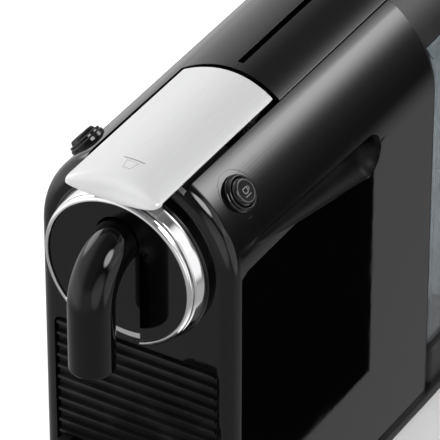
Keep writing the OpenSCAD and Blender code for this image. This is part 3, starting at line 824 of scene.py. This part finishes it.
def make_top_cover():
    """Roof panel behind the lever, with a centre seam that opens into a long slit."""
    cover = rod("top_cover_gloss", RADIUS, at(0, 87, 0), at(0, DEPTH, 0), 320)
    combine(cover, rod("inside", RADIUS - WALL, at(0, 80, 0), at(0, DEPTH + 5, 0), 320))
    combine(cover, block("keep", at(-30, 80, 30), at(30, DEPTH + 5, RADIUS + 5)), operation="INTERSECT")
    front = block("front", at(-RADIUS, 80, 30), at(RADIUS, 110, RADIUS + 5))
    combine(front, rear_arch(3.2))
    combine(cover, front)
    channel = block("channel", at(-3.9, 106, 49), at(3.9, 200, RADIUS - WALL + 0.2))
    combine(cover, channel, operation="UNION")
    combine(cover, block("slit", at(-1.9, 108, 51), at(1.9, 198, RADIUS + 1)))
    combine(cover, block("seam_line", at(-0.2, 80, RADIUS - 0.7), at(0.2, 109, RADIUS + 1)))
    soften_edges(cover, 0.45, 3, 36)
    shade(cover, 36)
    return fit(cover, "machine", "gloss_black", "top_cover")


def slot_cutter(back):
    """Wedge-sided groove of the face that the spout hangs out of."""
    def half(y):
        return SLOT_HALF - (y + DISC_OUT) * 0.35
    front = -DISC_OUT - 3
    round_top = rod("slot", half(front), at(0, front, SLOT_TOP), at(0, back, SLOT_TOP), 96, half(back))
    wedge = block("wedge", at(-half(front), front, -52), at(half(front), back, SLOT_TOP))
    editing(wedge)
    pick(wedge, "verts", lambda m, v: m.y > FRONT + back - 0.1)
    bpy.ops.transform.resize(value=(half(back) / half(front), 1, 1), center_override=(0, 0, 0))
    done()
    return combine(round_top, wedge, operation="UNION")


def make_face():
    """Collar, chromed ring and gloss disc with the spout's slot."""
    forward = facing(at(0, 0, 0), (0, -1, 0))
    collar = lathe("head_collar_satin", [(39.3, 0.1), (48, 0.1), (48, 4.2), (39.3, 4.2)],
                   [0, 0, 0.8, 0.3], forward, 160)
    shade(collar, 40)
    fit(collar, "machine", "gloss_black", "head_collar")
    side, front = RING_HIGH.x, RING_OUT
    ring = lathe("face_ring_chrome",
                 [(RING_IN, RING_BACK), (side - 0.4, RING_BACK), (side, 5.2), (side - 1.6, 11.9),
                  (side - 3.2, 12.5), (side - 3.2, 13.3), (side - 1.9, 13.4), (side - 1.9, front),
                  (RING_IN, front)],
                 [0.1, 0.3, 2.0, 0.5, 0, 0, 0.3, 2.2, 0.4], forward, 192)
    # Black ring filling the chrome ring's groove: painted shade in the recess
    groove = lathe("ring_groove",
                   [(side - 3.6, 12.1), (side - 2.6, 12.1), (side - 2.6, 13.5), (side - 3.6, 13.5)],
                   [0, 0, 0, 0], forward, 192)
    combine(groove, slot_cutter(SLOT_BEHIND_RING))
    fit(groove, "machine", "painted_shade_black")
    combine(ring, slot_cutter(SLOT_BEHIND_RING))
    shade(ring, 40)
    fit(ring, "machine", "chrome_ring", "face_ring")
    disc = lathe("face_disc_gloss", [(0, 7.4), (42.2, 7.4), (42.2, DISC_OUT), (0, DISC_OUT)],
                 [0, 0, 0.7, 0], forward, 160)
    combine(disc, slot_cutter(SLOT_BEHIND_DISC))
    soften_edges(disc, 0.3, 3, 40)
    shade(disc, 36)
    fit(disc, "machine", "gloss_black", "face_disc")


def make_spout():
    """Tube out of the slot's top, bent down, with a recessed outlet."""
    root, mouth = at(0, -DISC_OUT + 6.9, SPOUT_HEIGHT), at(0, -DISC_OUT, SPOUT_HEIGHT)
    centre = at(0, -DISC_OUT, SPOUT_HEIGHT - SPOUT_BEND)
    tube = rod("spout_tube", SPOUT_RADIUS, root, mouth, 72)
    editing(tube)
    pick(tube, "faces", lambda m, f: m.y < FRONT - DISC_OUT + 0.1 and len(f.verts) > 8)
    bpy.ops.mesh.spin(steps=28, angle=-math.pi / 2, center=centre * MM, axis=(1, 0, 0))
    tip = AXIS_Z + SPOUT_TIP
    fall = centre.z - tip
    bpy.ops.mesh.extrude_region_move(TRANSFORM_OT_translate={"value": (0, 0, -fall * MM)})
    bpy.ops.mesh.inset(thickness=2.4 * MM)
    bpy.ops.mesh.extrude_region_move(TRANSFORM_OT_translate={"value": (0, 0, 15 * MM)})
    done()
    tidy_mesh(tube)
    bevel_edges(tube, lambda m, e: abs(m.z - tip) < 0.02 and e.calc_length() / MM < 2
                and len(e.link_faces) == 2 and e.calc_face_angle() > 0.8, 1.0, 4)
    shade(tube, 40)
    fit(tube, "machine", "spout_black", "spout")


def make_buttons():
    """Two buttons on the shoulders: stepped bezel, rounded cap, inlay and its cup symbol."""
    for side, label in ((-1, "left"), (1, "right")):
        place = facing(button_foot(side), button_axis(side))
        body = label + "_button"
        bezel = lathe("bezel_" + label,
                      [(8.35, -6), (10.5, -6), (10.5, 1.6), (9.7, 1.9), (9.7, 3.6), (8.35, 3.6)],
                      [0, 0, 0.7, 0.2, 0.7, 0.4], place)
        shade(bezel, 40)
        fit(bezel, "machine", "gloss_black", "button_bezel_" + label)
        cap = lathe("cap_" + label,
                    [(0, -9), (2.2, -9), (2.2, -3), (8, -3), (7.9, 3.9), (6.9, 5.8), (5.85, 5.8),
                     (5.85, 5.1), (0, 5.1)], [0, 0.3, 0, 0.4, 0.9, 0.5, 0.2, 0, 0], place)
        shade(cap, 40)
        fit(cap, body, "gloss_black", "button_" + label)
        rim = lathe("rim_" + label, [(5.7, 5.5), (6.35, 5.5), (6.35, 5.95), (5.7, 5.95)],
                    [0, 0, 0.15, 0.15], place)
        shade(rim, 40)
        fit(rim, body, "rim_grey")
        inlay = lathe("inlay_" + label, [(0, 5.0), (5.7, 5.0), (5.7, 5.5), (0, 5.5)], [0, 0, 0.15, 0], place)
        shade(inlay, 40)
        fit(inlay, body, "button_inlay", "button_inlay_" + label)
        fit(cup_symbol("cup_symbol_" + label, place), body, "symbol_grey")


def cup_symbol(name, place):
    """Small raised outline of a cup with a handle and a saucer."""
    cup = block(name, (-1.9, -1.5, 5.4), (1.9, 1.9, 5.62))
    bevel_edges(cup, lambda m, e: m.y < -1.4 and abs(m.x) > 1.8, 1.3, 6)
    hollow = block("cup_hole", (-1.45, -1.0, 5), (1.45, 1.45, 6))
    bevel_edges(hollow, lambda m, e: m.y < -0.9 and abs(m.x) > 1.4, 0.95, 6)
    combine(cup, hollow)
    handle = rod("handle", 1.15, (2.3, 0.5, 5.4), (2.3, 0.5, 5.62), 32)
    combine(handle, rod("handle_hole", 0.75, (2.3, 0.5, 5), (2.3, 0.5, 6), 32))
    combine(handle, block("handle_cut", (0, -1, 5), (1.85, 2, 6)))
    saucer = block("saucer", (-2.6, -2.9, 5.4), (2.6, -2.45, 5.62))
    combine(cup, handle, saucer, operation="UNION")
    cup.matrix_world = place
    activate(cup)
    cup = settle(name)
    shade(cup, 30)
    return cup


def make_pod_symbol():
    """Fine relief of a pod on the lever: a rim line over a tapered outline, bent to the plate."""
    centre_y, top = -2.0, RADIUS
    line = block("pod_rim_line", at(-6.4, centre_y + 4.0, top - 3), at(6.4, centre_y + 4.5, top + 1))
    cup = block("pod_cup", at(-3.9, centre_y - 4.2, top - 3), at(3.9, centre_y + 2.8, top + 1))
    hole = block("pod_hole", at(-3.35, centre_y - 3.7, top - 4), at(3.35, centre_y + 2.3, top + 2))
    for outline, narrow in ((cup, 0.62), (hole, 0.6)):
        editing(outline)
        pick(outline, "verts", lambda m, v: m.y < FRONT + centre_y)
        bpy.ops.transform.resize(value=(narrow, 1, 1), center_override=(0, 0, 0))
        done()
    combine(cup, hole)
    cup.name = "pod_symbol"
    for part, height, finish in ((line, 0.06, "symbol_grey"), (cup, 0.14, "lever_metal")):
        skin = rod("skin", top + height, at(0, -20, 0), at(0, 60, 0), 320)
        combine(skin, rod("skin_core", top - 0.5, at(0, -25, 0), at(0, 65, 0), 320))
        combine(part, skin, operation="INTERSECT")
        shade(part, 30)
        fit(part, "lever", finish)


def refine(node, width, segments=2, angle=35):
    """Moulded version of a plainer CAD part, with its edges rounded."""
    piece = copy_of(node, node + "_moulded")
    soften_edges(piece, width, segments, angle)
    shade(piece, angle)
    bodies = frame["record"]["behaviour"]["bodies"]
    body = next(name for name, nodes in bodies.items() if node in nodes)
    # The capsule chute gets the near-black painted shade in place of its own finish, as it sits in the dark
    # gap
    return fit(piece, body, "painted_shade_black" if node == "capsule_chute" else SLOT_OF[node], node)


EDGE_WIDTHS = {"base_plate": 1.2, "drip_tray": 0.8, "drip_grid": 0.35, "front_grille": 0.4,
               "cup_support": 0.6, "capsule_container": 0.6, "tank_dock": 0.8, "tank_lid": 1.2,
               "water_tank": 0.5, "inlet_socket": 0.4, "rubber_feet": 0.7,
               "capsule_chute": 0.4, "lever_bracket": 0.5}


def make_plain_parts():
    """Rounds the edges of the parts whose shape is already right."""
    for node, width in EDGE_WIDTHS.items():
        refine(node, width)


make_shells()
make_lever()
make_pod_symbol()
make_top_cover()
make_face()
make_spout()
make_buttons()
make_plain_parts()
